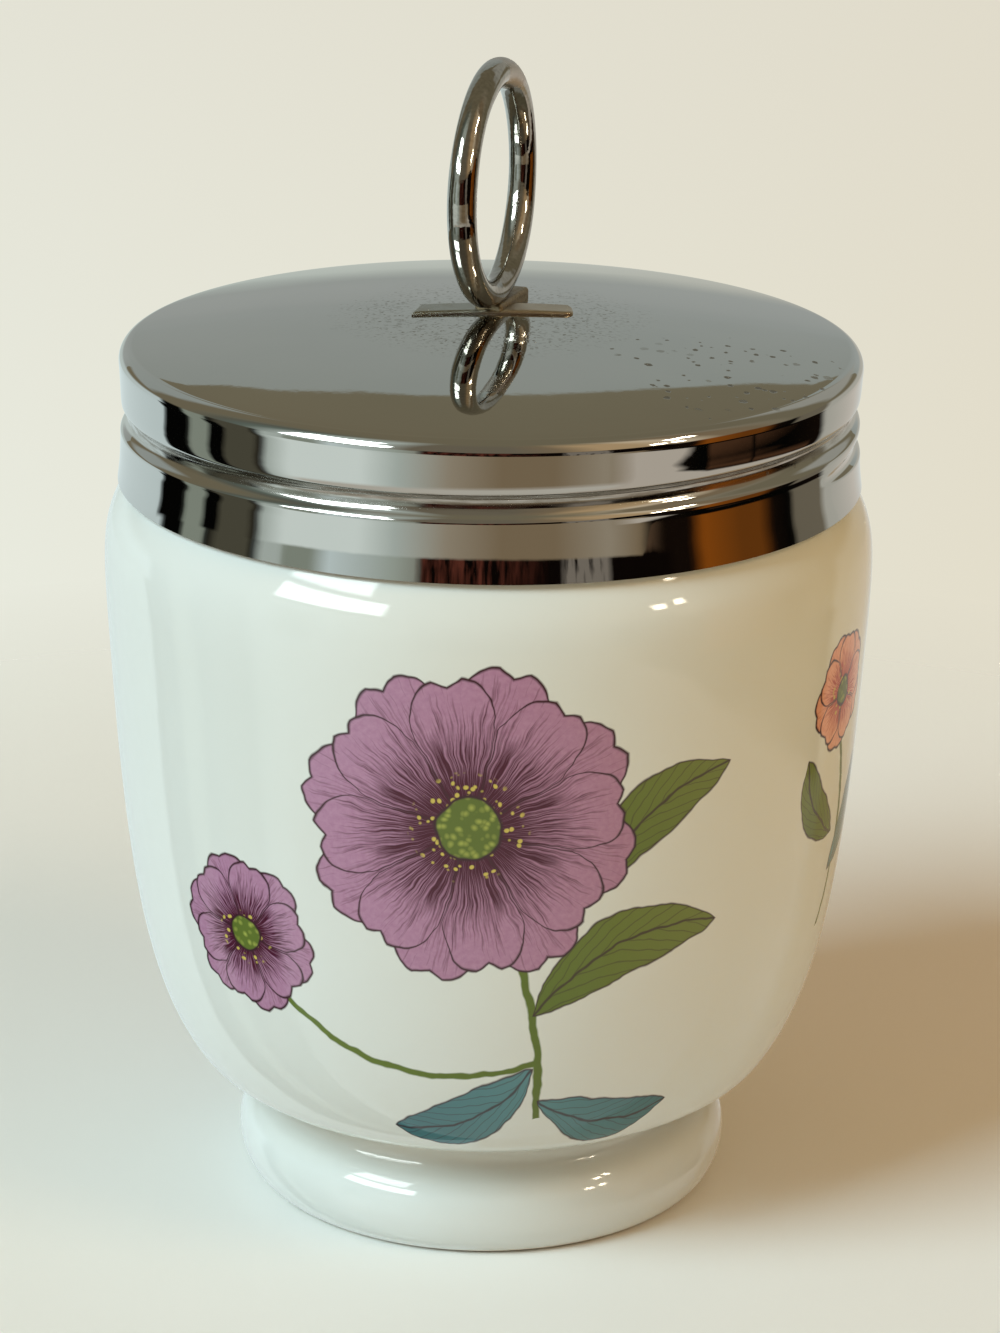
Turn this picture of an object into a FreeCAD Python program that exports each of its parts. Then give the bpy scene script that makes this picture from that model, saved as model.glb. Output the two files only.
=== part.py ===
"""Porcelain egg coddler: a footed china cup with a screw-on metal lid and a lifting ring.

Frame: millimetres, +Z up, origin at the middle of the foot on the table. The lid is shown
screwed down. Its thread is single-start and right-handed, so the lid rises as it turns
counter-clockwise seen from above.

The parts are small and almost wholly turned, so their tight bends are made of short flats,
each set within a stated distance of the true curve. The long side of the bowl stays smooth.
"""

import FreeCAD
import Part
import math
import os

# Cup, one fired piece: control polygon of its outer skin, from the foot's land up to the ledge
OUTER_SKIN = [(19.4, 0), (20.3, 0), (21.5, 1.5), (21.8, 4.6), (20.7, 6.7), (19.4, 7.4),
              (19.2, 8.6), (20.0, 9.6), (22.4, 10.6), (24.9, 11.8), (26.4, 13.8), (28.8, 18.7),
              (30.8, 27.7), (32.0, 40.4), (32.5, 50.1), (33.0, 58.7), (32.2, 61.4), (30.8, 63.6)]
BOWL_FROM = (28.4, 18.4)  # the smooth side runs between these points of the skin
BOWL_TO = (32.6, 59.0)
SKIN_END_ANGLE = 32.5     # outward normal at the skin's upper end, degrees above level
LEDGE_R = 0.8             # roll over into the ledge under the lid
NECK_R = 29.5             # plain wall under the lid
NECK_BORE_R = 26.6
RIM_Z = 73.7
BEHIND_NECK = [(26.6, 66.0), (27.4, 62.0), (29.2, 58.5)]            # the inside widens below the neck
INSIDE_BOWL = [(29.2, 38.0), (28.7, 26.0), (25.0, 12.8), (16.0, 12.2)]  # control polygon, down to the floor
UNDER_BASE = [(0, 8.6), (15.6, 8.6), (17.6, 5.2), (18.2, 0)]        # hollow inside the foot, out to its land

# Pressed lid, about 0.4 mm sheet
GAUGE = 0.4
LID_R = 31.3              # outside of the straight band
FLARE = [(31.3, 66.9), (31.35, 65.05), (31.55, 63.65)]   # the band widens down to its hem
SHOULDER_R = 1.2
CROWN_Z = 77.7
CROWN_RADIUS = 175.0      # shallow dome

# Screw thread: a groove rolled into the lid's band runs under a ridge on the cup's neck
PITCH = 2.6
THREAD_Z = 67.59          # middle of the groove at azimuth 0, lowest turn
GROOVE_FROM, GROOVE_TO = -30.0, 390.0
RIDGE_FROM, RIDGE_TO = -90.0, 330.0
RUN_OUT = 32.0            # degrees over which each end fades into the wall
RUN_OUT_LEAST = 0.03      # share of the section left at the very end
RUN_OUT_WIDTH = 0.35      # the section narrows less than it sinks
THREAD_STEP = 6.0
THREAD_DEPTH = 0.7        # how far the groove goes in, and the bead behind it stands out
THREAD_LAP = 0.15         # how far the groove and bead bodies reach past their wall
RIDGE_LAP = 0.2
RIDGE_H = 0.85

# Sealing washer between rim and lid
WASHER_IN, WASHER_OUT = 26.9, 29.5
WASHER_Z = 73.75
WASHER_T = 0.7

# Lifting ring and what holds it
RING_R = 9.2              # to the middle of the wire
WIRE_R = 1.25
RING_AZIMUTH = 74.4       # direction of the ring's plane, degrees from +X
WIRE_FLATS = 12
STRAP_LENGTH = 13.6
STRAP_WIDTH = 2.9
STRAP_T = 0.45
STRAP_AZIMUTH = 3.0
STRAP_RISE = 0.1          # how far its ends spring up off the lid
STRAP_CORNER = 0.9
STRAP_SLANT = 0.8         # how far the clipped end runs back
SADDLE_NEAR, SADDLE_FAR = -1.2, 6.0
SADDLE_NEAR_W, SADDLE_FAR_W = 2.4, 3.2
SADDLE_TOP_Z = 78.6
SADDLE_SEAT = 0.6         # how far its blank reaches down into the dome before it is fitted
SADDLE_CORNER = 0.4

# How far a flat may lie from the true curve
FLAT_SAG = 0.1
DOME_SAG = 0.06
HIDDEN_SAG = 0.2

Z_AXIS = FreeCAD.Vector(0, 0, 1)
ORIGIN = FreeCAD.Vector(0, 0, 0)


def at(radius, height):
    """A point of an outline in the XZ plane."""
    return FreeCAD.Vector(radius, 0, height)


def run(*points):
    """Straight edges through the points of an outline."""
    ends = [at(*point) for point in points]
    return [Part.makeLine(start, end) for start, end in zip(ends, ends[1:])]


def arc(centre, radius, first, last):
    """Circular arc in the XZ plane, angles in degrees from +X towards +Z."""
    points = []
    for angle in (first, (first + last) / 2.0, last):
        turn = math.radians(angle)
        points.append(at(centre[0] + radius * math.cos(turn), centre[1] + radius * math.sin(turn)))
    return Part.Arc(*points).toShape()


def steered(poles):
    """Smooth cubic curve steered by its control polygon, ending on the first and last pole."""
    curve = Part.BSplineCurve()
    curve.buildFromPoles([at(*pole) for pole in poles], False, 3)
    return curve


def flats(curve_edge, sag):
    """The curve as straight edges that lie within sag of it."""
    points = curve_edge.discretize(QuasiDeflection=sag)
    return [Part.makeLine(start, end) for start, end in zip(points, points[1:])]


def turned(edges):
    """Solid turned from a closed half outline about the Z axis."""
    outline = Part.Wire(Part.__sortEdges__(edges))
    return Part.Face(outline).revolve(ORIGIN, Z_AXIS, 360)


def screw_body(wall_r, section, first, last):
    """Thread body along the helix, fading into the wall at both ends.

    section lists (reach, rise) pairs: how far the thread stands off the wall, and its height
    above the middle of the groove. The first and last pair lie behind the wall.
    """
    stations = int(round((last - first) / THREAD_STEP))
    root = section[0][0]
    middle = sum(rise for _, rise in section) / len(section)
    wires = []
    for i in range(stations + 1):
        azimuth = first + (last - first) * i / stations
        from_end = min(azimuth - first, last - azimuth) / RUN_OUT
        share = max(RUN_OUT_LEAST, math.sin(math.pi / 2 * min(1.0, from_end)))
        width = RUN_OUT_WIDTH + (1 - RUN_OUT_WIDTH) * share
        z = THREAD_Z + PITCH * azimuth / 360.0
        turn = math.radians(azimuth)
        points = []
        for reach, rise in section:
            radius = wall_r + root + (reach - root) * share
            height = z + middle + (rise - middle) * width
            points.append(FreeCAD.Vector(radius * math.cos(turn), radius * math.sin(turn), height))
        wires.append(Part.makePolygon(points + points[:1]))
    return Part.makeLoft(wires, True, True)


def neck_ridge():
    """Porcelain ridge, steeper underneath where the lid's bead pulls against it."""
    lap, high = -RIDGE_LAP, RIDGE_H
    section = [(lap, 0.95), (high - 0.1, 1.3), (high, 1.6), (high - 0.3, 1.95), (lap, 2.35)]
    return screw_body(NECK_R, section, RIDGE_FROM, RIDGE_TO)


def groove_cutter():
    """Space of the rolled groove in the outside of the band: steep above, sloping below."""
    lap, deep = THREAD_LAP, -THREAD_DEPTH
    section = [(lap, 1.08), (deep + 0.1, 0.72), (deep, 0.42), (deep + 0.25, -0.1), (lap, -1.08)]
    return screw_body(LID_R, section, GROOVE_FROM, GROOVE_TO)


def groove_bead():
    """The same groove seen from inside, one sheet thickness further in."""
    lap, deep = THREAD_LAP, -THREAD_DEPTH
    section = [(lap, 1.25), (deep + 0.15, 0.98), (deep, 0.55), (deep + 0.2, 0.0), (lap, -1.2)]
    return screw_body(LID_R - GAUGE, section, GROOVE_FROM, GROOVE_TO)


def porcelain_cup():
    curve = steered(OUTER_SKIN)
    low, high = curve.parameter(at(*BOWL_FROM)), curve.parameter(at(*BOWL_TO))
    foot = flats(curve.toShape(curve.FirstParameter, low), FLAT_SAG)
    bowl = curve.toShape(low, high)
    roll = flats(curve.toShape(high, curve.LastParameter), FLAT_SAG)

    normal = math.radians(SKIN_END_ANGLE)
    end_r, end_z = OUTER_SKIN[-1]
    ledge = (end_r - LEDGE_R * math.cos(normal), end_z - LEDGE_R * math.sin(normal))
    rim_r = (NECK_R - NECK_BORE_R) / 2.0
    rim = (NECK_BORE_R + rim_r, RIM_Z - rim_r)
    floor_z = INSIDE_BOWL[-1][1]
    edges = foot + [bowl] + roll
    edges += flats(arc(ledge, LEDGE_R, SKIN_END_ANGLE, 90), FLAT_SAG)
    edges += run((ledge[0], ledge[1] + LEDGE_R), (NECK_R, ledge[1] + LEDGE_R), (NECK_R, rim[1]))
    edges += flats(arc(rim, rim_r, 0, 180), FLAT_SAG)
    edges += run((NECK_BORE_R, rim[1]), *BEHIND_NECK, INSIDE_BOWL[0])
    edges += flats(steered(INSIDE_BOWL).toShape(), HIDDEN_SAG)
    edges += run(INSIDE_BOWL[-1], (0, floor_z), *UNDER_BASE, OUTER_SKIN[0])
    return turned(edges).fuse(neck_ridge())


def crown(inset, dome_sag, shoulder_sag):
    """Dome and rounded shoulder, inset from the lid's outside, from the axis to the straight band."""
    dome_centre = (0, CROWN_Z - CROWN_RADIUS)
    top = math.degrees(math.acos((LID_R - SHOULDER_R) / (CROWN_RADIUS - SHOULDER_R)))
    rise = (CROWN_RADIUS - SHOULDER_R) * math.sin(math.radians(top))
    centre = (LID_R - SHOULDER_R, dome_centre[1] + rise)
    dome = flats(arc(dome_centre, CROWN_RADIUS - inset, 90, top), dome_sag)
    shoulder = flats(arc(centre, SHOULDER_R - inset, top, 0), shoulder_sag)
    return dome + shoulder, (LID_R - inset, centre[1])


def screw_lid():
    outside, outer_end = crown(0, DOME_SAG, FLAT_SAG)
    inside, inner_end = crown(GAUGE, HIDDEN_SAG, HIDDEN_SAG)
    behind_flare = [(radius - GAUGE, z) for radius, z in reversed(FLARE)]
    edges = outside + run(outer_end, *FLARE, *behind_flare, inner_end) + inside
    edges += run((0, CROWN_Z - GAUGE), (0, CROWN_Z))
    return turned(edges).fuse(groove_bead()).cut(groove_cutter())


def space_under_crown():
    """All that lies below the lid's outer skin, for fitting what is fixed on top of it."""
    outside, (radius, z) = crown(0, DOME_SAG, FLAT_SAG)
    return turned(outside + run((radius, z), (0, z), (0, CROWN_Z)))


def sealing_washer():
    high = WASHER_Z + WASHER_T
    return turned(run((WASHER_IN, WASHER_Z), (WASHER_OUT, WASHER_Z), (WASHER_OUT, high),
                      (WASHER_IN, high), (WASHER_IN, WASHER_Z)))


def lifting_ring():
    """Stout wire bent to a closed circle that stands on edge."""
    step = 2 * math.pi / WIRE_FLATS
    corner_r = WIRE_R * math.sqrt(step / math.sin(step))  # gives the flats the round wire's area
    corners = []
    for i in range(WIRE_FLATS + 1):
        turn = step * (i + 0.5)
        corners.append(at(RING_R + corner_r * math.cos(turn), corner_r * math.sin(turn)))
    ring = Part.Face(Part.makePolygon(corners)).revolve(ORIGIN, Z_AXIS, 360)
    ring.rotate(ORIGIN, FreeCAD.Vector(1, 0, 0), 90)
    ring.rotate(ORIGIN, Z_AXIS, RING_AZIMUTH)
    ring.translate(FreeCAD.Vector(0, 0, CROWN_Z + STRAP_T + WIRE_R + RING_R))
    return ring


def is_upright(edge):
    first, last = edge.Vertexes[0].Point, edge.Vertexes[-1].Point
    return abs(first.x - last.x) < 1e-6 and abs(first.y - last.y) < 1e-6


def ring_strap():
    """Flat strip welded across under the ring, its ends sprung up, one end cut on the slant."""
    half, side = STRAP_LENGTH / 2.0, STRAP_WIDTH / 2.0
    bend_r = half ** 2 / (2 * STRAP_RISE)
    swing = math.degrees(math.asin(half / bend_r)) * 1.1
    centre = (0, CROWN_Z + bend_r)
    under = arc(centre, bend_r, 270 - swing, 270 + swing)
    over = arc(centre, bend_r - STRAP_T, 270 - swing, 270 + swing)
    ends = [Part.makeLine(under.Vertexes[i].Point, over.Vertexes[i].Point) for i in (0, 1)]
    strip = Part.Face(Part.Wire(Part.__sortEdges__([under, over] + ends)))
    strip = strip.extrude(FreeCAD.Vector(0, STRAP_WIDTH, 0))
    strip.translate(FreeCAD.Vector(0, -side, 0))
    corners = [(-half, -side), (half, -side), (half, side), (-half + STRAP_SLANT, side), (-half, -side)]
    plan = Part.Face(Part.makePolygon([FreeCAD.Vector(x, y, CROWN_Z - 1) for x, y in corners]))
    blank = plan.extrude(FreeCAD.Vector(0, 0, 3))
    rounded = [edge for edge in blank.Edges if is_upright(edge) and edge.Vertexes[0].X > half - 0.1]
    strap = strip.common(blank.makeFillet(STRAP_CORNER, rounded))
    strap.rotate(ORIGIN, Z_AXIS, STRAP_AZIMUTH)
    return strap


def ring_saddle(strap, ring):
    """Tapered cradle brazed under the ring, seated on the lid and over the strap."""
    near, far = SADDLE_NEAR_W / 2.0, SADDLE_FAR_W / 2.0
    corners = [(SADDLE_NEAR, -near), (SADDLE_FAR, -far), (SADDLE_FAR, far), (SADDLE_NEAR, near),
               (SADDLE_NEAR, -near)]
    base_z = CROWN_Z - SADDLE_SEAT
    plan = Part.Face(Part.makePolygon([FreeCAD.Vector(x, y, base_z) for x, y in corners]))
    block = plan.extrude(FreeCAD.Vector(0, 0, SADDLE_TOP_Z - base_z))
    block = block.makeFillet(SADDLE_CORNER, [edge for edge in block.Edges if is_upright(edge)])
    block.rotate(ORIGIN, Z_AXIS, RING_AZIMUTH)
    return block.cut(space_under_crown()).cut(strap).cut(ring)


def main():
    os.makedirs("parts", exist_ok=True)
    ring = lifting_ring()
    strap = ring_strap()
    pieces = {
        "porcelain_cup": porcelain_cup(),
        "screw_lid": screw_lid(),
        "sealing_washer": sealing_washer(),
        "lifting_ring": ring,
        "ring_strap": strap,
        "ring_saddle": ring_saddle(strap, ring),
    }
    for name, shape in pieces.items():
        solid = shape.Solids[0]
        box = solid.BoundBox
        print(name, len(shape.Solids), "solid", "valid" if solid.isValid() else "INVALID",
              round(solid.Volume, 1), [round(v, 2) for v in (box.XMin, box.XMax, box.YMin, box.YMax,
                                                             box.ZMin, box.ZMax)])
        solid.exportStep("parts/" + name + ".step")


main()
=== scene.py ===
import math

import bmesh
import bpy
import numpy as np
from mathutils import Matrix, Vector


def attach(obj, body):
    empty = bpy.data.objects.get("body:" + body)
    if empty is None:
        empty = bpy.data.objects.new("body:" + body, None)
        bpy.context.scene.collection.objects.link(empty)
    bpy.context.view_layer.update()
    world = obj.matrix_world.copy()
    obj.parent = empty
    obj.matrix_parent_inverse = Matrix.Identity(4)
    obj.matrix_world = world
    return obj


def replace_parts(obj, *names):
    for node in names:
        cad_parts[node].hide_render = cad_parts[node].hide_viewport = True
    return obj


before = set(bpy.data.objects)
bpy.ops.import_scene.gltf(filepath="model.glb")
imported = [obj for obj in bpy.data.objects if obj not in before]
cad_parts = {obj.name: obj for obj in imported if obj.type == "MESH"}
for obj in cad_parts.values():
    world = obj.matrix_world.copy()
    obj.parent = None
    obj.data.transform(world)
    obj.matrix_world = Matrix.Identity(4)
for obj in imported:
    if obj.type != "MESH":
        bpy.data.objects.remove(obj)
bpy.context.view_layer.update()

# Porcelain cup. One turned piece of white china with a rolled foot and a screw ridge on its neck,
# glazed all over except the land that it stands on, and printed with flower sprays under a
# second thin glaze.

MM = 0.001
FLOOR_Z = 12.2
HOLLOW_Z = 8.6
CUP_SKIN = [(19.4, 0), (20.3, 0), (21.5, 1.5), (21.8, 4.6), (20.7, 6.7), (19.4, 7.4), (19.2, 8.6),
            (20.0, 9.6), (22.4, 10.6), (24.9, 11.8), (26.4, 13.8), (28.8, 18.7), (30.8, 27.7),
            (32.0, 40.4), (32.5, 50.1), (33.0, 58.7), (32.2, 61.4), (30.8, 63.6)]
LEDGE_R = 0.8
LEDGE_LEAN = 32.5
NECK_R = 29.5
NECK_FILLET = 0.5
BORE_R = 26.6
RIM_Z = 73.7
CUP_INSIDE = [(26.6, 66.4), (26.6, 62.6), (29.3, 60.4), (29.2, 50.0), (29.2, 38.0), (28.7, 26.0),
              (25.0, 12.8), (16.0, FLOOR_Z)]
UNDER_FOOT = [(12.0, HOLLOW_Z), (16.4, HOLLOW_Z), (17.2, 6.2), (17.9, 2.0), (18.2, 0.4), (18.7, 0.0)]
THREAD_Z = 67.59
PITCH = 2.6
RIDGE_RUN = (-90, 330)
RUN_OUT = 32.0
ROUNDING = (-0.14, -0.07, 0, 0.07, 0.14)


def steered(poles, count):
    """Points along the smooth cubic curve steered by its control polygon."""
    poles = np.array(poles, float)
    knots = np.concatenate([[0.0] * 3, np.linspace(0, 1, len(poles) - 2), [1.0] * 3])
    t = np.minimum(np.linspace(0, 1, count), 1 - 1e-9)
    basis = [((a <= t) & (t < b)).astype(float) for a, b in zip(knots, knots[1:])]
    for degree in (1, 2, 3):
        raised = []
        for i in range(len(basis) - 1):
            share = np.zeros(count)
            if knots[i + degree] > knots[i]:
                share += (t - knots[i]) / (knots[i + degree] - knots[i]) * basis[i]
            if knots[i + degree + 1] > knots[i + 1]:
                over = knots[i + degree + 1] - knots[i + 1]
                share += (knots[i + degree + 1] - t) / over * basis[i + 1]
            raised.append(share)
        basis = raised
    return [tuple(point) for point in np.array(basis).T @ poles]


def arc(centre, radius, first, last, count):
    """Points along a circular arc of an outline, angles in degrees from outward towards up."""
    turns = np.radians(np.linspace(first, last, count))
    return [(centre[0] + radius * math.cos(t), centre[1] + radius * math.sin(t)) for t in turns]


def straight(start, end, count):
    """Evenly spaced points of an outline from start to end."""
    return [tuple(point) for point in np.linspace(start, end, count)]


def thread(section, first, last):
    """A function for how far a screw thread stands off its wall at an angle and a height.

    section lists (reach, rise) pairs across the thread, whose corners are rounded. The thread
    runs from the first angle to the last and fades into the wall at both ends.
    """
    reaches, rises = np.array(sorted(section, key=lambda pair: pair[1])).T
    middle = rises.mean()

    def reach_at(angle, height):
        total = np.zeros_like(angle)
        for turns in (-1, 0, 1):
            azimuth = np.degrees(angle) + 360 * turns
            from_end = np.minimum(azimuth - first, last - azimuth) / RUN_OUT
            share = np.sin(np.pi / 2 * np.clip(from_end, 0, 1))
            rise = height - THREAD_Z - PITCH * azimuth / 360 - middle
            rise = rise / (0.35 + 0.65 * share) + middle
            soft = [np.interp(rise + step, rises, reaches, 0, 0) for step in ROUNDING]
            total += share * np.mean(soft, axis=0)
        return total

    return reach_at


def mesh_piece(name, points, faces, body, crease=40):
    """A smooth-shaded piece from points in millimetres, riding on a body of the coddler."""
    mesh = bpy.data.meshes.new(name)
    mesh.from_pydata((np.asarray(points, float) * MM).tolist(), [], faces)
    work = bmesh.new()
    work.from_mesh(mesh)
    bmesh.ops.remove_doubles(work, verts=work.verts, dist=1e-7)
    bmesh.ops.recalc_face_normals(work, faces=work.faces)
    work.to_mesh(mesh)
    work.free()
    mesh.shade_smooth()
    mesh.set_sharp_from_angle(angle=math.radians(crease))
    piece = bpy.data.objects.new(name, mesh)
    bpy.context.scene.collection.objects.link(piece)
    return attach(piece, body)


def turned(name, outline, segments, body, relief=None):
    """A piece turned about the upright axis from an outline of (radius, height) in millimetres."""
    radius, height = np.array(outline, float).T
    angle, radius = np.meshgrid(np.arange(segments) * 2 * math.pi / segments, radius)
    height = np.repeat(height[:, None], segments, axis=1)
    if relief is not None:
        radius = radius + relief(angle, height, radius)
    points = np.stack([radius * np.cos(angle), radius * np.sin(angle), height], axis=-1).reshape(-1, 3)
    rows, columns = angle.shape
    index = np.arange(rows * columns).reshape(rows, columns)
    onward = np.roll(index, -1, axis=1)
    faces = np.stack([index[:-1], onward[:-1], onward[1:], index[1:]], axis=-1).reshape(-1, 4)
    return mesh_piece(name, points, faces.tolist(), body)


skin = steered(CUP_SKIN, 150)
lean = math.radians(LEDGE_LEAN)
ledge = (skin[-1][0] - LEDGE_R * math.cos(lean), skin[-1][1] - LEDGE_R * math.sin(lean))
ledge_z = ledge[1] + LEDGE_R
rim_r = (NECK_R - BORE_R) / 2
rim = (BORE_R + rim_r, RIM_Z - rim_r)
ridge = thread([(0, 0.95), (0.75, 1.3), (0.85, 1.6), (0.55, 1.95), (0, 2.35)], *RIDGE_RUN)
fillet = (NECK_R + NECK_FILLET, ledge_z + NECK_FILLET)
cup_outline = (skin + arc(ledge, LEDGE_R, LEDGE_LEAN, 90, 10)[1:]
               + arc(fillet, NECK_FILLET, 270, 180, 7)
               + straight((NECK_R, ledge_z + 0.6), (NECK_R, rim[1]), 64)
               + arc(rim, rim_r, 0, 180, 20)[1:]
               + straight((BORE_R, rim[1] - 0.3), (BORE_R, 66.6), 10)
               + steered(CUP_INSIDE, 48)
               + straight((15.0, FLOOR_Z), (0, FLOOR_Z), 8)
               + straight((0, HOLLOW_Z), (11.0, HOLLOW_Z), 6)
               + steered(UNDER_FOOT, 26)
               + [(19.2, 0.0)])


def cup_relief(angle, height, radius):
    """The screw ridge on the outside of the neck."""
    on_neck = (height > ledge_z + 0.55) & (height <= rim[1]) & (radius > NECK_R - 0.01)
    return np.where(on_neck, ridge(angle, height), 0)


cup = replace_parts(turned("coddler_cup", cup_outline, 272, "cup", cup_relief), "porcelain_cup")


class Shade:
    """One output of a node. Arithmetic on it adds Math nodes to the same material."""

    def __init__(self, socket):
        self.socket = socket

    def add(self, kind, settings, sockets, output=0):
        """Adds a node to the same tree: its settings first, then its sockets' values or links."""
        tree = self.socket.id_data
        node = tree.nodes.new("ShaderNode" + kind)
        for name, value in settings.items():
            if name == "stops":
                ramp = node.color_ramp.elements
                while len(ramp) < len(value):
                    ramp.new(0.5)
                for stop, (place, colour) in zip(ramp, value):
                    stop.position = place
                    stop.color = colour
            else:
                setattr(node, name, value)
        for name, value in sockets.items():
            if isinstance(value, Shade):
                tree.links.new(value.socket, node.inputs[name])
            else:
                node.inputs[name].default_value = value
        return Shade(node.outputs[output]) if len(node.outputs) else None

    def output(self, name):
        """Another output of the node that this one comes from."""
        return Shade(self.socket.node.outputs[name])

    def math(self, operation, *others, clamp=False):
        values = dict(enumerate((self,) + others))
        return self.add("Math", {"operation": operation, "use_clamp": clamp}, values)

    def __add__(self, other):
        return self.math("ADD", other)

    def __sub__(self, other):
        return self.math("SUBTRACT", other)

    def __rsub__(self, other):
        return self.add("Math", {"operation": "SUBTRACT"}, {0: other, 1: self})

    def __mul__(self, other):
        return self.math("MULTIPLY", other)

    def __truediv__(self, other):
        return self.math("DIVIDE", other)

    def __pow__(self, other):
        return self.math("POWER", other)

    __radd__ = __add__
    __rmul__ = __mul__

    def within(self, low=0.0, high=1.0):
        """0 up to low, 1 from high, and an even rise between."""
        ends = {"Value": self, "From Min": low, "From Max": high}
        return self.add("MapRange", {}, ends)

    def mix(self, factor, other):
        """This colour with another laid over it."""
        return self.add("Mix", {"data_type": "RGBA"}, {0: factor, 6: self, 7: other}, 2)

    def between(self, first, last):
        """The colour that goes from first to last as this number goes from 0 to 1."""
        return self.add("Mix", {"data_type": "RGBA"}, {0: self, 6: first, 7: last}, 2)

    def bump(self, height):
        """Surface direction over a relief, this number, whose 1 stands this many millimetres high."""
        return self.add("Bump", {}, {"Height": self, "Distance": height * MM})

    def noise(self, scale, detail=2.0, rough=0.5, output="Fac"):
        """Cloudy variation at this many waves a millimetre."""
        sockets = {"Vector": self, "Scale": scale, "Detail": detail, "Roughness": rough}
        return self.add("TexNoise", {}, sockets, output)

    def place(self, at, turn=0.0, scale=1.0):
        """These coordinates seen from a point, turned by an angle in degrees and divided by scale."""
        sockets = {"Vector": self, "Location": (at[0], at[1], 0),
                   "Rotation": (0, 0, math.radians(turn)), "Scale": (scale, scale, 1)}
        return self.add("Mapping", {"vector_type": "TEXTURE"}, sockets)

    def split(self):
        """The three numbers of a vector."""
        parts = self.add("SeparateXYZ", {}, {"Vector": self})
        return parts, parts.output("Y"), parts.output("Z")


def tint(red, green, blue):
    """A paint colour from 0 to 255 as the shader takes it."""
    linear = [((v / 255 + 0.055) / 1.055) ** 2.4 if v > 10 else v / 3295 for v in (red, green, blue)]
    return (*linear, 1.0)


def new_finish(name):
    """A new empty material and its coordinates in millimetres."""
    material = bpy.data.materials.new(name)
    material.use_nodes = True
    material.node_tree.nodes.clear()
    own = Shade(material.node_tree.nodes.new("ShaderNodeTexCoord").outputs["Object"])
    return material, own.add("VectorMath", {"operation": "SCALE"}, {0: own, "Scale": 1 / MM})


def coat(piece, material, sockets):
    """Ends a material in its shader and puts it on a piece."""
    start = Shade(material.node_tree.nodes[0].outputs[0])
    shader = start.add("BsdfPrincipled", {}, sockets)
    start.add("OutputMaterial", {}, {"Surface": shader})
    piece.data.materials.clear()
    piece.data.materials.append(material)


MAUVE = tint(164, 114, 146)
PALE_MAUVE = tint(190, 146, 174)
PLUM = tint(74, 26, 46)
OUTLINE = tint(62, 36, 44)
OLIVE = tint(120, 132, 58)
LEAF_GREEN = tint(96, 114, 42)
TEAL = tint(94, 140, 146)
DEEP_TEAL = tint(72, 116, 124)
CORAL = tint(226, 146, 118)
PALE_CORAL = tint(240, 186, 160)
BRICK = tint(176, 74, 58)
POLLEN = tint(206, 186, 92)
HEART = tint(160, 168, 80)
DARK_HEART = tint(96, 112, 48)
GLAZE = tint(228, 230, 226)
CREAM_GLAZE = tint(224, 226, 221)
# painted shade for the recess above the foot
RECESS_SHADE_GLAZE = tint(208, 204, 192)
BISCUIT = tint(222, 214, 198)
PRINT_LINE = 0.16
PRINT_Z = 36.5
PRINT_R = 32.0
PRINT_TURN = 94.0

glaze, mm = new_finish("printed_porcelain")
x, y, z = mm.split()
# the same spray is printed twice, half a turn apart
around = y.math("ARCTAN2", x) + math.radians(PRINT_TURN)
around = around.math("WRAP", math.pi / 2, -math.pi / 2) * PRINT_R
flat = around.add("CombineXYZ", {}, {"X": around, "Y": z - PRINT_Z})
wander = flat.noise(0.35, 2, output="Color")
unsteady = {0: wander, 1: (0.9, 0.9, 0), 2: flat}
drawn = flat.add("VectorMath", {"operation": "MULTIPLY_ADD"}, unsteady)
grain = drawn.noise(2.2, 3)


def leaf(colour, at, turn, length, width, bend, near, far, veins=7.0):
    """Paints a pointed leaf or, with no veins, an even stroke over the print so far."""
    along, across, _ = drawn.place(at, turn, length).split()
    hump = (along * (1 - along)).math("MAXIMUM", 0.0) * 4
    across = across - bend * hump
    side = across.math("ABSOLUTE")
    half = hump ** 0.8 if veins else hump.math("GREATER_THAN", 0.0)
    inner = (half * (width / length) - side) * (length / PRINT_LINE)
    paint = near
    if veins:
        paint = along.between(near, far)
        rib = (side * 2.6 - along).math("MULTIPLY", veins * 2 * math.pi).math("SINE")
        rib = rib.within(0.84, 1.0) * 0.55
        spine = (side * (length / PRINT_LINE)).within(1.1, 0.4)
        paint = paint.mix(rib.math("MAXIMUM", spine) * 0.8, OUTLINE)
        paint = paint.mix(inner.within(2.0, 0.9), OUTLINE)
    return colour.mix(inner.within(0.0, 1.0), paint)


def stem(colour, at, turn, length, width, bend):
    """Paints a plain green stem over the print so far."""
    return leaf(colour, at, turn, length, width, bend, LEAF_GREEN, LEAF_GREEN, veins=0)


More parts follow.
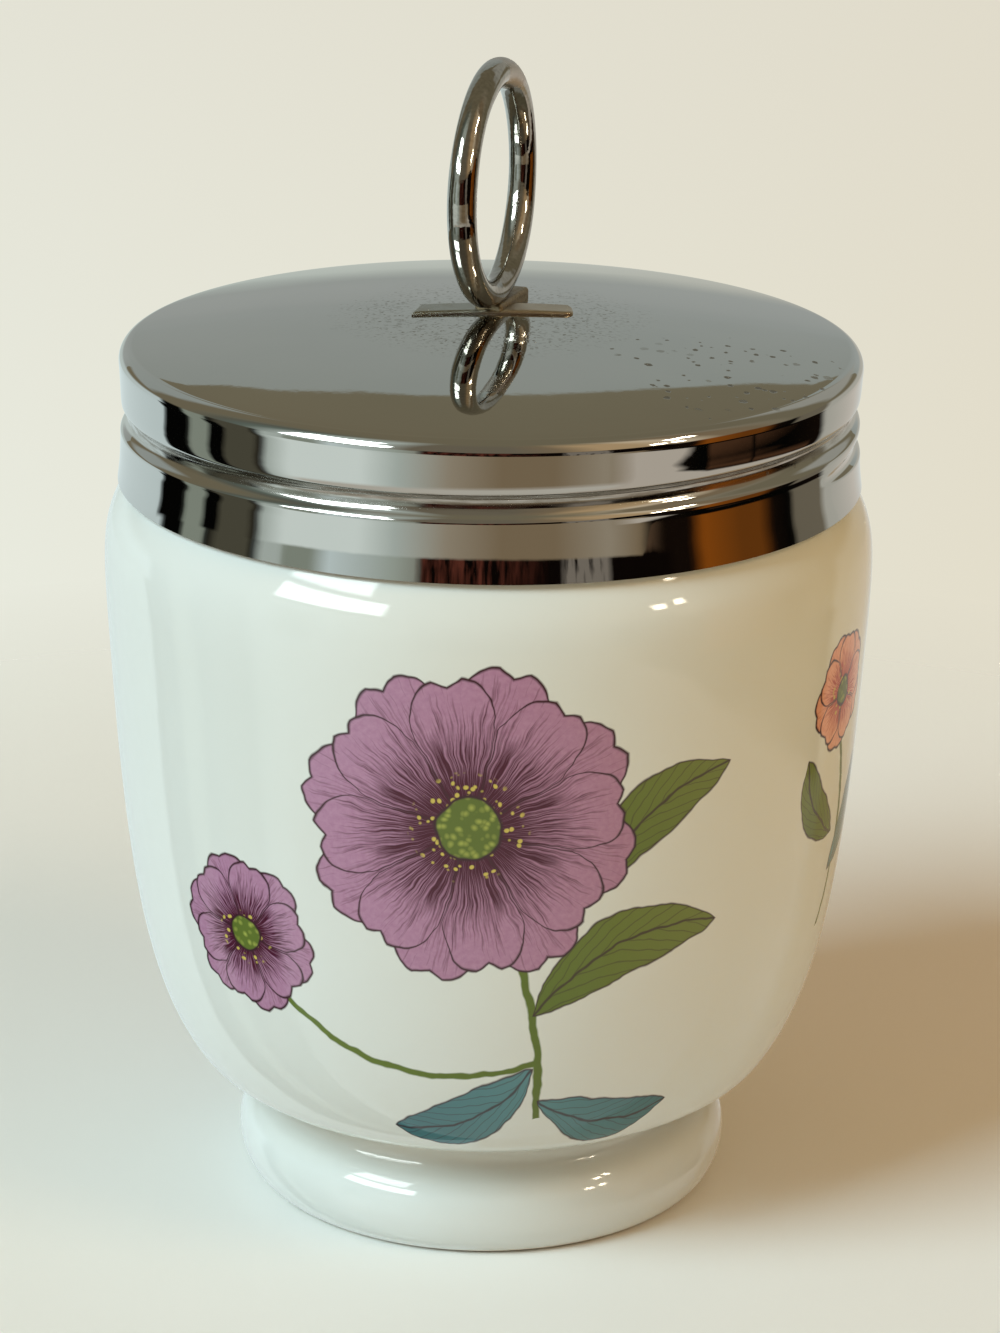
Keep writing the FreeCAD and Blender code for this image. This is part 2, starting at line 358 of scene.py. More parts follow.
def bloom(colour, at, turn, radius, petals, pale, deep, heart=0.2, notch=0.05):
    """Paints a round open flower with notched petals, dark streaks and a stippled heart."""
    u, v, _ = drawn.place(at, turn, radius).split()
    reach = (u * u + v * v).math("SQRT")
    petal = v.math("ARCTAN2", u) * (petals / (2 * math.pi))
    for lap, size in ((0.5, 1.0), (0.0, 0.92)):
        off = (petal + lap).math("WRAP", 0.5, -0.5)
        side = off.math("ABSOLUTE")
        tip = size - (side ** 3) * 2.6 - (side * 9).within(1.0, 0.0) * notch
        waist = (0.49 - side) * reach * 3.0
        inner = (tip - reach).math("MINIMUM", waist) * (radius / PRINT_LINE)
        streak = off.add("CombineXYZ", {}, {"X": off * petals, "Y": reach * 0.7 + lap})
        streak = streak.noise(5.0, 2)
        depth = reach.within(1.05 * size, 0.15) + (streak - 0.5) * 1.7
        paint = grain.between(*pale).mix(depth.within(0.28, 0.85), deep)
        paint = paint.mix(inner.within(2.1, 0.9), OUTLINE)
        colour = colour.mix(inner.within(-0.5, 0.5), paint)
    dots = u.add("TexVoronoi", {"feature": "F1"}, {"Vector": drawn, "Scale": 1.5})
    stamens = dots.within(0.34, 0.22) * (reach / heart).within(1.75, 1.55)
    colour = colour.mix(stamens, POLLEN)
    disc = (heart - reach) * (radius / PRINT_LINE)
    centre = dots.within(0.1, 0.5).between(HEART, DARK_HEART)
    centre = centre.mix(disc.within(2.0, 1.0), OUTLINE)
    return colour.mix(disc.within(-0.5, 0.5), centre)


body_tone = flat.noise(0.05, 2)
print_colour = body_tone.between(GLAZE, CREAM_GLAZE)
# the large spray, from its stems up to its flowers
print_colour = stem(print_colour, (8.0, -20.0), 104, 28.9, 0.45, -0.06)
print_colour = stem(print_colour, (7.7, -14.1), 166, 25.4, 0.4, 0.16)
print_colour = leaf(print_colour, (7.0, -9.6), 22, 18, 3.1, 0.16, LEAF_GREEN, OLIVE)
print_colour = leaf(print_colour, (7.4, -14.6), 207, 15, 2.8, 0.15, TEAL, DEEP_TEAL)
print_colour = leaf(print_colour, (8.0, -18.0), -8, 14, 2.6, -0.15, TEAL, DEEP_TEAL)
print_colour = leaf(print_colour, (12.0, 2.0), 38, 15, 2.8, 0.14, LEAF_GREEN, OLIVE)
print_colour = bloom(print_colour, (-19.0, -5.0), 20, 7.2, 6, (MAUVE, PALE_MAUVE), PLUM, 0.24)
print_colour = bloom(print_colour, (1.5, 7.5), 8, 14.0, 8, (MAUVE, PALE_MAUVE), PLUM)
# the small coral spray between the large ones
print_colour = stem(print_colour, (41.0, -9.0), 96, 20, 0.4, -0.12)
print_colour = leaf(print_colour, (41.0, -4.0), 60, 11, 2.2, -0.14, TEAL, DEEP_TEAL)
print_colour = leaf(print_colour, (40.6, 0.0), 128, 11, 2.2, 0.14, LEAF_GREEN, OLIVE)
print_colour = bloom(print_colour, (39.6, 13.0), 10, 5.4, 5, (CORAL, PALE_CORAL), BRICK, 0.26)

land = z.within(0.5, 0.15)
# painted shade: the glaze is coloured greyer and creamier in the recess above the foot
recess_shade = z.within(5.5, 8.0) * z.within(11.5, 9.5) * 0.6
ripple = mm.noise(0.12, 2) * 0.6 + mm.noise(0.5, 2) * 0.4
biscuit = mm.noise(6.0, 4)
coat(cup, glaze, {
    "Base Color": print_colour.mix(recess_shade, RECESS_SHADE_GLAZE).mix(land, BISCUIT),
    "Roughness": land * 0.5 + 0.012 + body_tone * 0.02,
    "IOR": 1.5,
    "Normal": (ripple + land * biscuit * 0.2).bump(0.02),
})

# Sealing washer. A flat ring of cream rubber with rounded edges that lies on the cup's rim inside
# the lid, pushed in loose so that it can be taken out and washed.

WASHER_IN, WASHER_OUT = 26.9, 29.5
WASHER_Z, WASHER_T = 73.75, 0.7
EDGE_R = 0.2
RUBBER = tint(206, 196, 172)
PALE_RUBBER = tint(228, 220, 200)

washer_outline = (arc((WASHER_OUT - EDGE_R, WASHER_Z + EDGE_R), EDGE_R, -90, 0, 5)
                  + arc((WASHER_OUT - EDGE_R, WASHER_Z + WASHER_T - EDGE_R), EDGE_R, 0, 90, 5)
                  + arc((WASHER_IN + EDGE_R, WASHER_Z + WASHER_T - EDGE_R), EDGE_R, 90, 180, 5)
                  + arc((WASHER_IN + EDGE_R, WASHER_Z + EDGE_R), EDGE_R, 180, 270, 5))
washer_outline.append(washer_outline[0])
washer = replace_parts(turned("rubber_washer", washer_outline, 160, "washer"), "sealing_washer")
rubber, mm = new_finish("cream_rubber")
bloomed = mm.noise(0.5, 3)
fine = mm.noise(7.0, 3)
coat(washer, rubber, {
    "Base Color": bloomed.between(RUBBER, PALE_RUBBER),
    "Roughness": 0.55 + fine * 0.2,
    "Normal": fine.bump(0.03),
})

# Screw lid. Pressed from thin sheet as a shallow dome with a rounded shoulder and a deep band, the
# screw groove rolled into the band, the hem spread a little, then plated bright inside and out.

LID_R = 31.3
GAUGE = 0.4
SHOULDER_R = 1.2
CROWN_Z = 77.7
CROWN_RADIUS = 175.0
HEM_Z = 63.65
HEM = [(31.22, 68.4), (31.24, 67.6), (31.29, 66.4), (31.35, 65.2), (31.44, 64.4), (31.55, HEM_Z)]
GROOVE_RUN = (-30, 390)
WORN_AT = (21, -14)
PRESSED_FROM = 4.0
PRESSED_EASE = 2.0
PRESSED_TILT = 1.031
PRESSED_SETTLING = 0.0019
PLATE = tint(197, 199, 197)
PALE_PLATE = tint(206, 206, 203)
CLOUDED = tint(120, 116, 104)
PITTED = tint(112, 106, 92)
GRIME = tint(128, 120, 104)


def crown(inset, count):
    """Dome and shoulder of the lid, set in from its outside, and the height where the band starts."""
    low = CROWN_Z - CROWN_RADIUS
    top = math.acos((LID_R - SHOULDER_R) / (CROWN_RADIUS - SHOULDER_R))
    centre = (LID_R - SHOULDER_R, low + (CROWN_RADIUS - SHOULDER_R) * math.sin(top))
    dome = arc((0, low), CROWN_RADIUS - inset, 90, math.degrees(top), count)
    return dome + arc(centre, SHOULDER_R - inset, math.degrees(top), 0, 16)[1:], centre[1]


outside, band_z = crown(0, 30)
inside, _ = crown(GAUGE, 12)
hem = steered(HEM, 54)
waist = [(31.3, band_z - 0.1), (31.28, band_z - 0.4), (31.235, band_z - 1.1), (31.195, band_z - 2.0),
         (31.18, band_z - 2.9), (31.18, 70.0), (31.2, 69.2), (31.22, 68.5)]
band = steered(waist, 58)
lid_outline = (outside + band + hem
               + [(31.45, HEM_Z + 0.01), (31.25, HEM_Z + 0.01)]
               + [(r - GAUGE, h) for r, h in reversed(hem)]
               + [(r - GAUGE, h) for r, h in reversed(band)] + inside[::-1])
groove = thread([(0, 2.5), (-0.01, 1.95), (-0.035, 1.55), (-0.08, 1.22), (-0.56, 0.8), (-0.7, 0.42),
                 (-0.66, 0.05), (-0.56, -0.3), (-0.42, -0.52), (-0.1, -0.75), (0.035, -0.98),
                 (0.02, -1.3), (0, -1.7)], *GROOVE_RUN)
bead = thread([(0, 1.15), (-0.55, 0.95), (-0.7, 0.55), (-0.5, 0.0), (0, -1.0)], *GROOVE_RUN)


def lid_relief(angle, height, radius):
    """The rolled groove, and the bead that it makes inside the band."""
    relief = np.where(radius > LID_R - GAUGE / 2, groove(angle, height), bead(angle, height))
    return np.where(height < band_z, relief, 0)


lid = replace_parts(turned("pressed_lid", lid_outline, 288, "lid", lid_relief), "screw_lid")

plate, mm = new_finish("bright_plate")
x, y, z = mm.split()
out = (x * x + y * y).math("SQRT")
from_strap = out + mm.noise(0.35, 2) * 4
mottled = from_strap.within(16.0, 11.0) * mm.noise(0.3, 2).within(0.3, 0.46)
cloudy = mm.noise(2.6, 2).within(0.52, 0.66) * mottled
pits = mm.add("TexVoronoi", {"feature": "F1"}, {"Vector": mm, "Scale": 0.8})
ragged = pits + mm.noise(2.2, 2) * 0.34
size = pits.output("Color").add("SeparateColor", {}, {"Color": pits.output("Color")})
off_x, off_y = x - WORN_AT[0], y - WORN_AT[1]
crowded = (off_x * off_x * 0.7 + off_y * off_y).math("SQRT").within(15.0, 9.0)
near_strap = mm.add("TexVoronoi", {"feature": "F1"}, {"Vector": mm, "Scale": 1.5})
flecks = (near_strap + mm.noise(4.0, 2) * 0.3).within(0.38, 0.3) * from_strap.within(16.0, 12.0)
spots = (ragged + size * 0.22).within(0.5, 0.44) * (size * 0.5 + crowded).within(0.98, 1.08)
spots = spots.math("MAXIMUM", flecks * 0.8) * out.within(30.8, 30.2)
haze = mm.noise(0.09, 4)
wave = mm.noise(0.07, 1)
dents = mm.noise(0.7, 2)
# the front of the crown was pressed down a little more than the back
behind = y - PRESSED_FROM
pressed = (behind * behind + PRESSED_EASE * PRESSED_EASE).math("SQRT") - behind
pressed = pressed * (PRESSED_TILT - pressed * PRESSED_SETTLING)
relief = wave + dents * 0.02 - spots * 0.05 - cloudy * 0.015
on_band = relief.bump(0.08)
on_crown = (relief - pressed).bump(0.08)


def under_lip(turns):
    """Where dirt settles under the upper lip of the groove, from turns along the thread."""
    up = z - THREAD_Z - turns * PITCH
    across = up.within(-0.4, 0.3) * up.within(1.35, 1.15)
    return across * turns.within(-0.02, 0.04) * turns.within(1.05, 1.0)


turn = y.math("ARCTAN2", x) / (2 * math.pi)
dirt = under_lip(turn).math("MAXIMUM", under_lip(turn + 1))
smears = turn.add("CombineXYZ", {}, {"X": turn * 60, "Y": z * 3.0}).noise(1.0, 3)
dirt = dirt * smears.within(0.3, 0.6) * out.within(29.5, 30.0)
plate_colour = haze.between(PLATE, PALE_PLATE)
plate_colour = plate_colour.mix(cloudy * 0.42, CLOUDED)
plate_colour = plate_colour.mix(spots * 0.7, PITTED)
over_edge = out.within(30.1, 30.7)
coat(lid, plate, {
    "Base Color": plate_colour.mix(dirt * 0.7, GRIME),
    "Metallic": 1.0,
    "Roughness": haze * 0.02 + 0.012 + spots * 0.35 + cloudy * 0.1 + dirt * 0.25,
    "Normal": out.add("Mix", {"data_type": "VECTOR"}, {0: over_edge, 4: on_crown, 5: on_band}, 1),
})

# Ring strap. A short flat strip clipped from plated stock, spot-welded across the middle of the
# lid, one end cut on the slant and the other rounded, both bent down a little to the dome.

STRAP_HALF = 6.8
STRAP_SIDE = 1.45
STRAP_T = 0.45
STRAP_TURN = 3.0
STRAP_CORNER = 0.9
STRAP_SLANT = 0.8
STRAP_EDGE = 0.3
STRAP_SPRING = 0.2
STRAP_SUNK = 0.02
# painted reflections for the strip's two arms
COOL_REFLECTION_STRIP = tint(160, 162, 153)
WARM_REFLECTION_STRIP = tint(184, 170, 146)
TARNISHED = tint(150, 138, 112)


def eased(count):
    """Numbers from -1 to 1 that crowd together at both ends."""
    return np.sin(np.linspace(-math.pi / 2, math.pi / 2, count))


def slab(name, body, footprint, under, over, edge_r, columns, rows):
    """A flat piece with rounded edges. footprint(u, v) gives its plan, under and over its two faces."""
    u, v = np.meshgrid(eased(columns), eased(rows))
    x, y = footprint(u, v)
    from_ends = np.minimum(1 + u, 1 - u) * np.ptp(x) / 2
    from_sides = np.minimum(1 + v, 1 - v) * np.ptp(y) / 2
    near = np.minimum(from_ends, from_sides)
    fall = edge_r - np.sqrt(np.maximum(edge_r ** 2 - np.maximum(edge_r - near, 0) ** 2, 0))
    top = np.stack([x, y, over(x, y) - fall], axis=-1).reshape(-1, 3)
    bottom = np.stack([x, y, under(x, y)], axis=-1).reshape(-1, 3)
    index = np.arange(rows * columns).reshape(rows, columns)
    corners = [index[:-1, :-1], index[:-1, 1:], index[1:, 1:], index[1:, :-1]]
    quads = np.stack(corners, axis=-1).reshape(-1, 4)
    rim = np.concatenate([index[0], index[1:, -1], index[-1, -2::-1], index[-2:0:-1, 0]])
    onward = np.roll(rim, -1)
    lower = rows * columns
    walls = np.stack([rim, onward, onward + lower, rim + lower], axis=-1)
    faces = np.concatenate([quads, quads[:, ::-1] + lower, walls]).tolist()
    return mesh_piece(name, np.concatenate([top, bottom]), faces, body, 50)


def crown_at(x, y):
    """Height of the lid's dome at a place."""
    return CROWN_Z - (x * x + y * y) / (2 * CROWN_RADIUS)


def strap_plan(u, v):
    """The strip seen from above, slanted at one end and rounded at the other."""
    y = v * STRAP_SIDE
    first = -STRAP_HALF + STRAP_SLANT * (y + STRAP_SIDE) / (2 * STRAP_SIDE)
    beyond = np.maximum(np.abs(y) - (STRAP_SIDE - STRAP_CORNER), 0)
    last = STRAP_HALF - STRAP_CORNER + np.sqrt(np.maximum(STRAP_CORNER ** 2 - beyond ** 2, 0))
    return first + (last - first) * (u + 1) / 2, y


def strap_top(x, y):
    """Height of the strip's upper face, sprung down a little at both ends."""
    return CROWN_Z + STRAP_T - 0.01 - STRAP_SPRING * (x / STRAP_HALF) ** 2


strap = slab("welded_strap", "lid", strap_plan, lambda x, y: crown_at(x, y) - STRAP_SUNK,
             strap_top, STRAP_EDGE, 60, 25)
strap.data.transform(Matrix.Rotation(math.radians(STRAP_TURN), 4, "Z"))
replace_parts(strap, "ring_strap")

dull, mm = new_finish("dulled_strip")
x, y, z = mm.split()
tarnish = mm.noise(0.5, 4)
# painted reflection: the strip is coloured cool grey towards its slanted end and warm tan towards its
# rounded end, after what its two arms mirror; the darker patches are tarnish
warm = (x + tarnish * 2).within(-0.5, 3.0)
scuffs = mm.add("Mapping", {}, {"Vector": mm, "Scale": (0.3, 4.0, 1.0)}).noise(2.0, 3)
strip_colour = warm.between(COOL_REFLECTION_STRIP, WARM_REFLECTION_STRIP)
coat(strap, dull, {
    "Base Color": strip_colour.mix(tarnish.within(0.5, 0.75) * 0.4, TARNISHED),
    "Metallic": 1.0,
    "Roughness": 0.24 + tarnish * 0.15 + scuffs * 0.08,
    "Normal": (scuffs + tarnish).bump(0.02),
})

# Ring saddle. A small wedge of braze and strip under the ring, filed to a taper, that holds the
# ring upright on the strap. It is painted brown and blotched dark, a painted reflection of the
# brown and dark things that it mirrors.

SADDLE_NEAR, SADDLE_FAR = -1.2, 6.0
SADDLE_NEAR_W, SADDLE_FAR_W = 2.4, 3.2
SADDLE_TOP = 78.6
SADDLE_CORNER = 0.35
SADDLE_SUNK = 0.05
RING_TURN = 74.4
BROWN_REFLECTION_BRAZE = tint(126, 108, 80)
BRAZE = tint(160, 150, 128)
DARK_REFLECTION_BRAZE = tint(78, 62, 44)


def saddle_plan(u, v):
    """The saddle seen from above, a wedge with rounded corners."""
    x = SADDLE_NEAR + (SADDLE_FAR - SADDLE_NEAR) * (u + 1) / 2
    half = (SADDLE_NEAR_W + (SADDLE_FAR_W - SADDLE_NEAR_W) * (u + 1) / 2) / 2
    beyond = np.maximum(SADDLE_CORNER - np.minimum(x - SADDLE_NEAR, SADDLE_FAR - x), 0)
    round_off = SADDLE_CORNER - np.sqrt(np.maximum(SADDLE_CORNER ** 2 - beyond ** 2, 0))
    return x, v * (half - round_off)


saddle = slab("brazed_saddle", "lid", saddle_plan, lambda x, y: crown_at(x, y) - SADDLE_SUNK,
              lambda x, y: SADDLE_TOP, SADDLE_CORNER, 60, 25)
saddle.data.transform(Matrix.Rotation(math.radians(RING_TURN), 4, "Z"))
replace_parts(saddle, "ring_saddle")

braze, mm = new_finish("braze_painted_reflection")
brown_mottle = mm.noise(0.7, 4)
grit = mm.noise(4.0, 3)
# painted reflection: brown mottled with tan, and blotched dark
braze_colour = brown_mottle.between(BROWN_REFLECTION_BRAZE, BRAZE)
coat(saddle, braze, {
    "Base Color": braze_colour.mix(grit.within(0.55, 0.8), DARK_REFLECTION_BRAZE),
    "Metallic": 0.9,
    "Roughness": 0.34 + grit * 0.25,
    "Normal": (grit + brown_mottle * 2).bump(0.05),
})

# Lifting ring. Stout round wire bent to a circle and brazed end to end at the foot, standing on
# edge in the saddle. Its plating is worn dull where fingers and hooks lift it.

RING_R = 9.2
WIRE_R = 1.23
RING_GAP = 0.02
RING_Z = CROWN_Z + STRAP_T + WIRE_R + RING_GAP + RING_R
STATIONS, SIDES = 160, 32
WIRE = tint(160, 158, 151)
PALE_WIRE = tint(182, 180, 173)
RUBBED_WIRE = tint(190, 180, 170)
# painted shade at the ring's foot, with braze stains
FOOT_SHADE_AND_STAIN = tint(92, 76, 58)

round_ring, round_wire = np.meshgrid(np.arange(STATIONS) * 2 * math.pi / STATIONS,
                                     np.arange(SIDES) * 2 * math.pi / SIDES, indexing="ij")
# bending and wear leave the wire a little uneven and not quite flat
thinned = 0.012 * (1 + np.sin(3 * round_ring + 0.7)) + 0.01 * (1 + np.sin(5 * round_ring + 2.0))
flattened = 0.02 * (1 + np.cos(2 * round_wire)) * np.sin(2 * round_ring + 0.4) ** 2
girth = WIRE_R * (1 - thinned) * (1 - flattened)
hoop = RING_R + girth * np.cos(round_wire)
twist = 0.06 * np.sin(2 * round_ring + 1.0)
ring_points = np.stack([hoop * np.cos(round_ring), girth * np.sin(round_wire) + twist,
                        hoop * np.sin(round_ring)], axis=-1).reshape(-1, 3)
index = np.arange(STATIONS * SIDES).reshape(STATIONS, SIDES)
after = np.roll(index, -1, axis=0)
corners = [index, after, np.roll(after, -1, axis=1), np.roll(index, -1, axis=1)]
ring = mesh_piece("wire_ring", ring_points, np.stack(corners, axis=-1).reshape(-1, 4).tolist(), "lid")
stand_up = Matrix.Translation((0, 0, RING_Z * MM))
ring.data.transform(stand_up @ Matrix.Rotation(math.radians(RING_TURN), 4, "Z"))
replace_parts(ring, "lifting_ring")

wire, mm = new_finish("worn_wire_plate")
x, y, z = mm.split()
cloudy = mm.noise(0.22, 4)
ragged = mm.noise(0.9, 3) * 1.6
far_side = (y + ragged).within(0.2, 0.8) * (y + ragged).within(6.2, 5.6)
rubbed = (z + ragged).within(96.6, 97.0) * far_side
# painted shade, in patches, darkening the wire towards its foot where it meets the saddle, with brown
# braze stains there
foot_shade_and_stains = z.within(81.4, 79.4) * cloudy.within(0.3, 0.5)
specks = mm.noise(3.0, 4)
wire_colour = specks.within(0.3, 0.7).between(WIRE, PALE_WIRE)
wire_colour = wire_colour.mix(rubbed * 0.8, RUBBED_WIRE)
coat(ring, wire, {
    "Base Color": wire_colour.mix(foot_shade_and_stains * 0.75, FOOT_SHADE_AND_STAIN),
    "Metallic": 1.0,
    "Roughness": 0.03 + rubbed * 0.3 + foot_shade_and_stains * 0.15,
    "Normal": (specks * (rubbed + 0.1) + cloudy * 3.0).bump(0.04),
})

# Where it stands. A pale board, painted a little lighter on the right, that fades into a pale
# backdrop, lit by a wide cool lamp from the left and in front and by a small warm one from the
# right. Only mirrors see the room.

BOARD_HALF = 4.0
FADE_FROM, FADE_TO = 75, 175
LEFT_PAPER = tint(236, 237, 233)
LIGHTENED_RIGHT_PAPER = tint(242, 240, 237)

board_mesh = bpy.data.meshes.new("board")
board_mesh.from_pydata([(-BOARD_HALF, -BOARD_HALF, 0), (BOARD_HALF, -BOARD_HALF, 0),
                        (BOARD_HALF, BOARD_HALF, 0), (-BOARD_HALF, BOARD_HALF, 0)],
                       [], [(0, 1, 2, 3)])
board = bpy.data.objects.new("board", board_mesh)
bpy.context.scene.collection.objects.link(board)
board.visible_glossy = False
paper, mm = new_finish("cream_board")
mottle = mm.noise(0.012, 3)
out_x, out_y, _ = mm.split()
# painted light: the board is coloured a little lighter and warmer towards the right, where the
# coddler's shadow falls
across = out_x.within(-70, 70) + (mottle - 0.5) * 0.3
coat(board, paper, {
    "Base Color": across.between(LEFT_PAPER, LIGHTENED_RIGHT_PAPER),
    "Alpha": (out_x * out_x + out_y * out_y).math("SQRT").within(FADE_TO, FADE_FROM),
    "Roughness": 0.9,
    "Specular IOR Level": 0.2,
})

# the paints of the room
DARK = tint(6, 6, 5)
UMBER = tint(22, 14, 9)
AMBER = tint(150, 80, 20)
RUST = tint(116, 64, 20)
CHESTNUT = tint(112, 87, 66)
SASH = tint(87, 84, 70)
DUSK = tint(122, 113, 96)
WOOD = tint(141, 122, 96)
KHAKI = tint(140, 133, 115)
TAUPE = tint(168, 155, 135)
LAMPLIT = tint(198, 168, 128)
LAMP_GLOW = tint(225, 205, 175)
SLATE = tint(62, 71, 70)
LEAD = tint(88, 96, 91)
GREY_GREEN = tint(112, 122, 112)
STONE = tint(151, 159, 146)
HAZE = tint(176, 185, 174)
PLASTER = tint(193, 190, 179)
MIST = tint(194, 204, 197)
LINEN = tint(212, 204, 193)
COOL_LINEN = tint(220, 234, 234)
DAYLIGHT = tint(240, 250, 245)
CEILING = tint(128, 119, 97)
SHELVES = tint(14, 8, 6)
RED_JARS = tint(100, 52, 40)
PALE_JARS = tint(150, 140, 128)
NEAR_CLOTH = tint(206, 200, 188)
CLOTH_EDGE = tint(205, 194, 180)
FLOOR_BOARDS = tint(177, 157, 127)
BOARD_SEAMS = tint(90, 60, 40)

# what is met on looking round the room: below, level and above, as degrees and a paint
TABLE_ROUND = [(0, DARK), (14, DARK), (33, UMBER), (37, PLASTER), (62, LINEN), (98, COOL_LINEN),
               (149, COOL_LINEN), (151, DARK), (163, DARK), (165, STONE), (172, STONE), (174, DARK),
               (179, DARK), (181, SASH), (192, SASH), (195, UMBER), (198, MIST), (206, DAYLIGHT),
               (230, DAYLIGHT), (242, MIST), (258, TAUPE), (274, WOOD), (290, WOOD), (306, TAUPE),
               (316, WOOD), (320, UMBER), (338, DARK)]
LEVEL_ROUND = [(0, RUST), (6, UMBER), (14, DARK), (17, DUSK), (31, DUSK), (35, PLASTER), (80, PLASTER),
               (98, MIST), (152, COOL_LINEN), (155, DARK), (164, DARK), (166, STONE), (174, STONE),
               (176, DARK), (181, SASH), (193, SASH), (195, DARK), (199, MIST), (205, MIST),
               (207, STONE), (216, STONE), (222, COOL_LINEN), (242, HAZE), (256, DUSK), (290, WOOD),
               (306, TAUPE), (316, CHESTNUT), (324, UMBER), (333, UMBER), (338, AMBER), (352, RUST)]
HIGH_ROUND = [(0, WOOD), (10, TAUPE), (25, KHAKI), (60, KHAKI), (120, LEAD), (150, SLATE),
              (166, GREY_GREEN), (176, LEAD), (190, GREY_GREEN), (204, MIST), (232, MIST), (246, DUSK),
              (277, DUSK), (292, WOOD), (305, LAMPLIT), (318, LAMPLIT), (332, LAMP_GLOW), (345, WOOD)]

world = bpy.data.worlds.new("room")
bpy.context.scene.world = world
world.use_nodes = True
world.node_tree.nodes.clear()
way = Shade(world.node_tree.nodes.new("ShaderNodeTexCoord").outputs["Generated"])
x, y, z = way.split()
bearing = (y * -1).math("ARCTAN2", x * -1) * (180 / math.pi) + 180.0
rise = z.math("ARCSINE") * (180 / math.pi)


def round_room(met):
    """The colours met on looking round the room, from degrees and paints."""
    turn = bearing / 360.0
    stops = [(degrees / 360, paint) for degrees, paint in met]
    return turn.add("ValToRGB", {"stops": stops}, {"Fac": turn})


def opening(at, up, wide, high, edge=1.5):
    """1 inside a window or lamp that lies this many degrees to each side of a direction."""
    aside = (bearing - at).math("ABSOLUTE")
    above = (rise - up).math("ABSOLUTE")
    return aside.within(wide + edge, wide - edge) * above.within(high + edge, high - edge)


# the wall behind, pale up to where the brown ceiling starts
WALL_STOPS = [(0.0, tint(160, 165, 160)), (0.08, tint(168, 172, 168)), (0.4, tint(173, 178, 174)),
              (0.7, tint(166, 171, 165)), (0.706, tint(132, 124, 102)), (0.85, tint(130, 121, 99)),
              (1.0, CEILING)]
depth = y.math("MAXIMUM", 0.05)
along = x / depth
up = z / depth
wall = z.add("ValToRGB", {"stops": WALL_STOPS}, {"Fac": (up + along * (along * 2.4 + 0.15)) / 1.4})
beside = up.within(0.22, 0.32) * up.within(1.25, 1.0) * along.math("ABSOLUTE").within(1.6, 1.2)
wall = wall.mix(beside * along.within(-0.32, -0.42), tint(168, 174, 169))
wall = wall.mix(beside * along.within(0.33, 0.45), tint(172, 170, 160))
seen = round_room(HIGH_ROUND).mix(rise.within(55, 75), CEILING)
seen = seen.mix(y.within(-0.1, 0.25), wall)
over_front = y.within(0.2, -0.1) * 8.0
seen = round_room(LEVEL_ROUND).mix((rise - over_front).within(-1.0, 4.0), seen)
# dark shelves in front, with red and pale things on them
streaks = bearing.add("CombineXYZ", {}, {"X": bearing * 0.45, "Y": rise * 0.04}).noise(1.0, 3)
shelves = (rise - streaks * 3.0).within(-13.5, -11.5) * rise.within(14, 11)
shelves = shelves * (bearing - 288).math("ABSOLUTE").within(40, 37)
seen = seen.mix(shelves, SHELVES)
reds = streaks.within(0.42, 0.62) * (bearing - 262).math("ABSOLUTE").within(26, 8)
seen = seen.mix(shelves * reds, RED_JARS)
seen = seen.mix(opening(299, 0, 7, 12, 1) * streaks.within(0.3, 0.45) * 0.8, PALE_JARS)
# the table, its edge, and the boards of the floor to the right
far_edge = (bearing - 180).math("ABSOLUTE").within(137, 142) * 6.5
seen = round_room(TABLE_ROUND).mix((rise + far_edge).within(-10.5, -9.5), seen)
seen = seen.mix(rise.within(-24, -28) * opening(260, -60, 55, 45, 4), NEAR_CLOTH)
wedge = bearing.within(316, 342) * 6.5 + 17.3
seen = seen.mix((rise + wedge).within(0.6, -0.6) * bearing.within(308, 316), CLOTH_EDGE)
seen = seen.mix(rise.within(-23.2, -24.4) * bearing.within(40, 33), CLOTH_EDGE)
seams = opening(350, -21.6, 9, 1.2, 1.0) + opening(14, -21.6, 14, 1.2, 1.0)
seen = seen.mix(seams * 0.8, BOARD_SEAMS)
seen = seen.mix(rise.within(-20, -23) * opening(64, -60, 26, 45, 4), FLOOR_BOARDS)
seen = seen.mix(rise.within(-34, -44) * opening(20, -60, 70, 50, 6), FLOOR_BOARDS)
# the two lights of the window, and four small ceiling lamps
glow = opening(221, 24, 18, 5.5, 1) * 12.0 + opening(217, 40, 15, 7, 1) * 9.0
spark = opening(323, 21, 2, 2, 1) + opening(330, 22, 1.6, 2, 1)
spark = (spark + opening(334, 38, 2, 2, 1) + opening(342, 41, 2, 2.4, 1)) * 40.0
mirror_ray = way.add("LightPath", {}, {}, "Is Glossy Ray")
camera_ray = mirror_ray.output("Is Camera Ray")
above = z.math("MAXIMUM", 0.0)
cool = (x * -1).math("MAXIMUM", 0.0)
below = z.within(0.0, -0.05)
warm = x.math("MAXIMUM", 0.0) * below
hue = way.add("CombineXYZ", {}, {
    "X": above * 0.34 + below * 0.52 + cool * 0.04 + warm * 0.5 + 0.125,
    "Y": above * 0.235 + below * 0.5 + cool * 0.08 + warm * 0.2 + 0.085,
    "Z": above * 0.135 + below * 0.4 + cool * 0.12 - warm * 0.15 + 0.035,
})
soft = way.add("Background", {}, {"Color": hue})
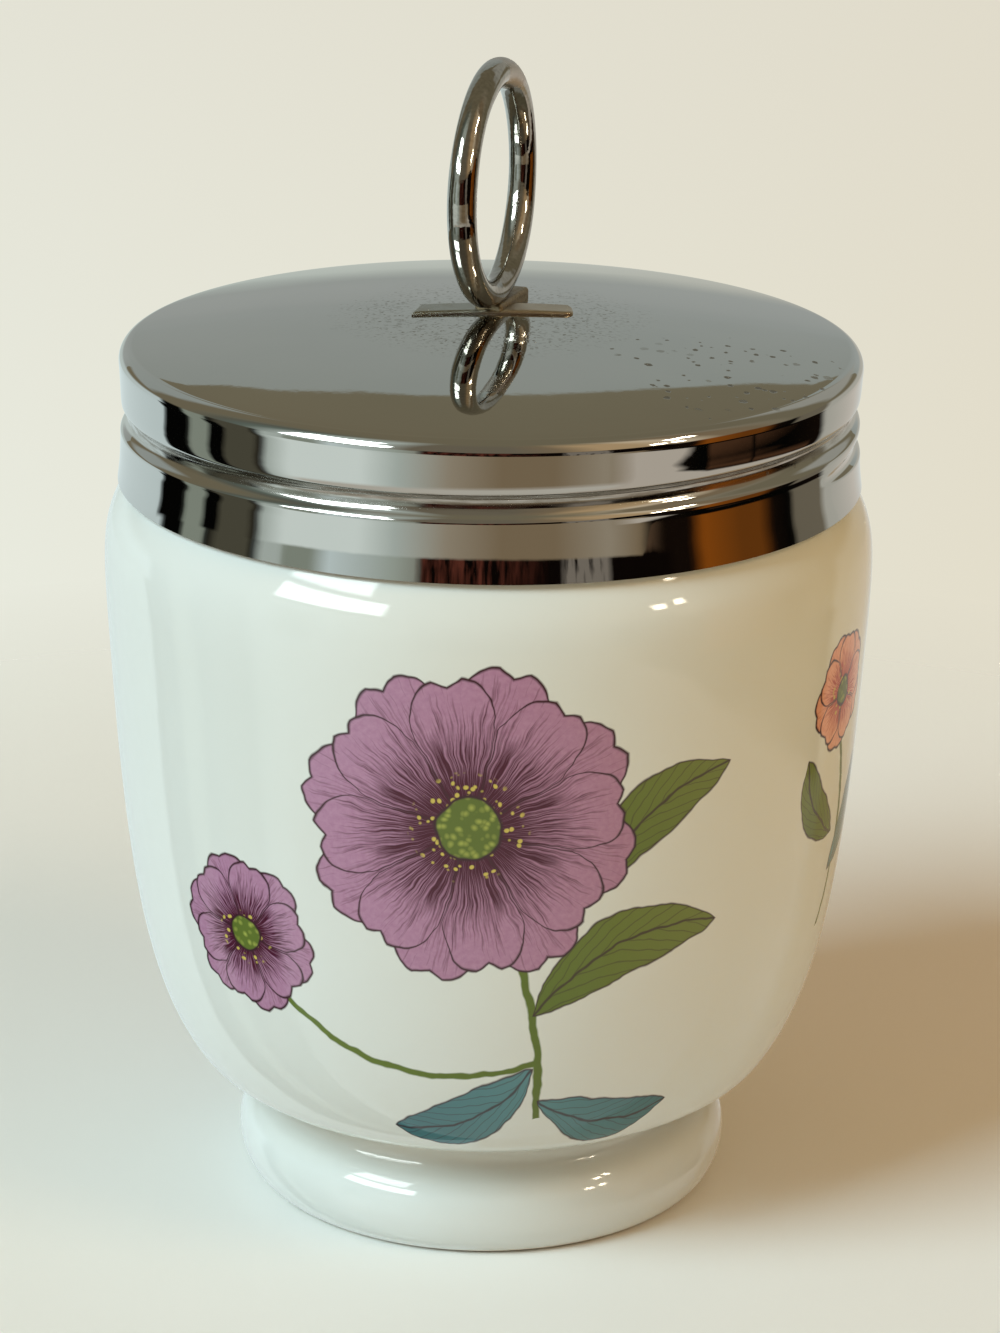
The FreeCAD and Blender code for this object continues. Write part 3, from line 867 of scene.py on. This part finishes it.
mirrored = way.add("Background", {}, {"Color": seen})
for colour, strength in (((0.9, 1.0, 1.0, 1.0), glow), ((1.0, 0.86, 0.66, 1.0), spark)):
    light = way.add("Background", {}, {"Color": colour, "Strength": strength})
    mirrored = way.add("AddShader", {}, {0: mirrored, 1: light})
# painted light: the backdrop is coloured lighter and cooler on the left and warmer on the right, after
# the two lamps, and a little darker nearer the horizon
backdrop = x.within(-0.14, 0.14).between(tint(233, 235, 223), tint(227, 221, 202))
backdrop = backdrop.mix(z.within(-0.3, -0.15) * 0.5, tint(221, 216, 202))
pale = way.add("Background", {}, {"Color": backdrop})
sky = way.add("MixShader", {}, {0: mirror_ray, 1: soft, 2: mirrored})
sky = way.add("MixShader", {}, {0: camera_ray, 1: sky, 2: pale})
way.add("OutputWorld", {}, {"Surface": sky})


def lamp(name, bearing, rise, far, size, watts):
    """A square soft lamp pointed at the coddler, with its power given for red, green and blue."""
    a, e = math.radians(bearing), math.radians(rise)
    place = Vector((math.cos(a) * math.cos(e), math.sin(a) * math.cos(e), math.sin(e))) * far
    light = bpy.data.lights.new(name, "AREA")
    light.size = size
    light.energy = max(watts)
    light.color = [w / max(watts) for w in watts]
    lit = bpy.data.objects.new(name, light)
    lit.location = place
    lit.rotation_euler = (-place).to_track_quat("-Z", "Y").to_euler()
    lit.visible_glossy = False
    bpy.context.scene.collection.objects.link(lit)


lamp("window", 215, 39, 2.4, 1.1, (33.8, 45.4, 49.6))
lamp("room_lamp", 329, 44, 2.4, 0.8, (8.6, 6.2, 3.7))

EYE = (0.0011, -0.325, 0.1578)
LENS = 107.19
LOOK_DOWN = 18.96
ROLL = 0.82

scene = bpy.context.scene
scene.view_settings.view_transform = "Standard"
camera_data = bpy.data.cameras.new("view")
camera_data.lens = LENS
camera_data.sensor_width = 36
camera_data.clip_start = 0.01
camera = bpy.data.objects.new("view", camera_data)
camera.matrix_world = (Matrix.Translation(EYE)
                       @ Matrix.Rotation(math.radians(90 - LOOK_DOWN), 4, "X")
                       @ Matrix.Rotation(math.radians(ROLL), 4, "Z"))
scene.collection.objects.link(camera)
scene.camera = camera
